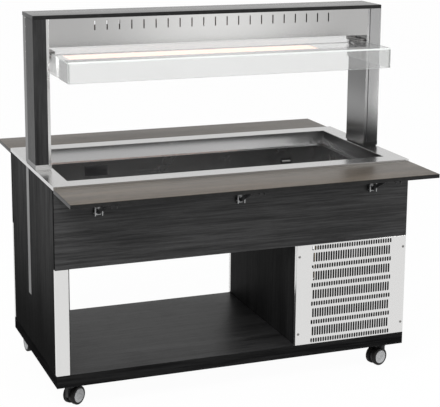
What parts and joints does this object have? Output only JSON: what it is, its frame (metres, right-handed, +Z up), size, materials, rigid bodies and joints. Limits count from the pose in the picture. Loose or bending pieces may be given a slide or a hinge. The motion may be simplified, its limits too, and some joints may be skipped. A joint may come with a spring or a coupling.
{
  "type": "mobile salad bar",
  "caption": "Wheeled buffet unit: cooled steel well in a laminate cabinet, open store, slotted grille, lit top box on two posts with a glass guard, and folding tray shelves.",
  "frame": {"origin": "on the floor, under the middle of the bar", "axes": "+X along the bar to its machine end, -Y to the guests' side with the glass guard, +Z up"},
  "size_m": [1.49, 1.242, 1.5],
  "materials": {
    "laminate": "satin laminate with a fine grain",
    "steel": "brushed",
    "plated_steel": "zinc plated",
    "black_metal": "satin black",
    "chrome": "polished",
    "glass": "clear, polished",
    "foam": "rigid foam",
    "copper": "bare tube",
    "brass": "bare",
    "red_lever": "dipped",
    "fins": "bare",
    "opal": "opal",
    "white_plastic": "moulded",
    "black_plastic": "moulded",
    "caster_plastic": "moulded",
    "tyre": "matt"
  },
  "bodies": {
    "cabinet": {"base_board": "laminate", "bracket_pins": "black_metal", "bracket_wall_leaves": "plated_steel", "caster_plates": "plated_steel", "ceiling_board": "laminate", "clamp_studs": "chrome", "compressor": "black_metal", "condenser": "fins", "control_panel": "steel", "corner_uprights": "steel", "deck_frame": "steel", "divider_panel": "laminate", "drain_pipe": "brass", "end_panels_front": "laminate", "end_panels_rear": "laminate", "end_strips": "steel", "evaporator_coil": "copper", "fan_motor": "black_metal", "front_apron": "laminate", "front_fascia": "steel", "front_grille": "steel", "glass_clamps": "black_metal", "glass_front": "glass", "glass_sides": "glass", "glass_top": "glass", "grille_screws": "plated_steel", "insulation": "foam", "lamp_bar": "opal", "lamp_diffuser": "opal", "lamp_driver": "white_plastic", "left_post": "steel", "left_post_cladding": "laminate", "light_pan": "steel", "power_inlet": "black_plastic", "rear_apron": "laminate", "rear_fascia": "steel", "rear_grille": "steel", "right_post": "steel", "top_board": "laminate", "well_collar": "steel", "well_tank": "steel"},
    "front_tray_shelf": {"front_tray": "laminate", "front_tray_leaves": "plated_steel"},
    "front_stay_set": {"front_stays": "plated_steel"},
    "rear_tray_shelf": {"rear_tray": "laminate", "rear_tray_leaves": "plated_steel"},
    "rear_stay_set": {"rear_stays": "plated_steel"},
    "drain_handle": {"drain_lever": "red_lever"},
    "fan_wheel": {"fan_blade": "fins"},
    "thermostat": {"thermostat_knob": "black_plastic"},
    "power_rocker": {"power_switch": "black_plastic"},
    "light_rocker": {"light_switch": "black_plastic"},
    "caster_front_left": {"caster_front_left_housing": "caster_plastic"},
    "wheels_front_left": {"caster_front_left_wheels": "tyre"},
    "caster_front_right": {"caster_front_right_housing": "caster_plastic"},
    "wheels_front_right": {"caster_front_right_wheels": "tyre"},
    "caster_rear_left": {"caster_rear_left_housing": "caster_plastic"},
    "wheels_rear_left": {"caster_rear_left_wheels": "tyre"},
    "caster_rear_right": {"caster_rear_right_housing": "caster_plastic"},
    "wheels_rear_right": {"caster_rear_right_wheels": "tyre"}
  },
  "joints": [
    {"name": "front_tray_fold", "type": "hinge", "parent": "cabinet", "child": "front_tray_shelf", "pos_m": [0, -0.381, 0.845], "axis": [1, 0, 0], "range_deg": [0, 90]},
    {"name": "front_stays_fold", "type": "hinge", "parent": "cabinet", "child": "front_stay_set", "pos_m": [0, -0.382, 0.787], "axis": [1, 0, 0], "range_deg": [0, 113]},
    {"name": "rear_tray_fold", "type": "hinge", "parent": "cabinet", "child": "rear_tray_shelf", "pos_m": [0, 0.381, 0.845], "axis": [-1, 0, 0], "range_deg": [0, 90]},
    {"name": "rear_stays_fold", "type": "hinge", "parent": "cabinet", "child": "rear_stay_set", "pos_m": [0, 0.382, 0.787], "axis": [-1, 0, 0], "range_deg": [0, 113]},
    {"name": "drain_lever_turn", "type": "hinge", "parent": "cabinet", "child": "drain_handle", "pos_m": [0.575, 0.09, 0.522], "axis": [0, 1, 0], "range_deg": [0, 90]},
    {"name": "fan_spin", "type": "hinge", "parent": "cabinet", "child": "fan_wheel", "pos_m": [0.4975, -0.258, 0.275], "axis": [0, 1, 0], "continuous": true},
    {"name": "thermostat_turn", "type": "hinge", "parent": "cabinet", "child": "thermostat", "pos_m": [0.36, 0.386, 0.7], "axis": [0, 1, 0], "range_deg": [0, 270]},
    {"name": "power_rocker_tip", "type": "hinge", "parent": "cabinet", "child": "power_rocker", "pos_m": [0.23, 0.385, 0.7], "axis": [-1, 0, 0], "range_deg": [0, 14]},
    {"name": "light_rocker_tip", "type": "hinge", "parent": "cabinet", "child": "light_rocker", "pos_m": [0.26, 0.385, 0.7], "axis": [-1, 0, 0], "range_deg": [0, 14]},
    {"name": "caster_front_left_swivel", "type": "hinge", "parent": "cabinet", "child": "caster_front_left", "pos_m": [-0.68, -0.307, 0.0873], "axis": [0, 0, 1], "continuous": true},
    {"name": "wheels_front_left_spin", "type": "hinge", "parent": "caster_front_left", "child": "wheels_front_left", "pos_m": [-0.65805, -0.29128, 0.0375], "axis": [-0.5821, 0.8131, 0], "continuous": true},
    {"name": "caster_front_right_swivel", "type": "hinge", "parent": "cabinet", "child": "caster_front_right", "pos_m": [0.68, -0.307, 0.0873], "axis": [0, 0, 1], "continuous": true},
    {"name": "wheels_front_right_spin", "type": "hinge", "parent": "caster_front_right", "child": "wheels_front_right", "pos_m": [0.65422, -0.31503, 0.0375], "axis": [0.2974, -0.9548, 0], "continuous": true},
    {"name": "caster_rear_left_swivel", "type": "hinge", "parent": "cabinet", "child": "caster_rear_left", "pos_m": [-0.68, 0.307, 0.0873], "axis": [0, 0, 1], "continuous": true},
    {"name": "wheels_rear_left_spin", "type": "hinge", "parent": "caster_rear_left", "child": "wheels_rear_left", "pos_m": [-0.68235, 0.3339, 0.0375], "axis": [-0.9962, -0.0872, 0], "continuous": true},
    {"name": "caster_rear_right_swivel", "type": "hinge", "parent": "cabinet", "child": "caster_rear_right", "pos_m": [0.68, 0.307, 0.0873], "axis": [0, 0, 1], "continuous": true},
    {"name": "wheels_rear_right_spin", "type": "hinge", "parent": "caster_rear_right", "child": "wheels_rear_right", "pos_m": [0.65616, 0.31968, 0.0375], "axis": [-0.4695, -0.8829, 0], "continuous": true}
  ],
  "couplings": [
    {"joint": "front_stays_fold", "follows": "front_tray_fold", "ratio": 1.255},
    {"joint": "rear_stays_fold", "follows": "rear_tray_fold", "ratio": 1.255}
  ]
}
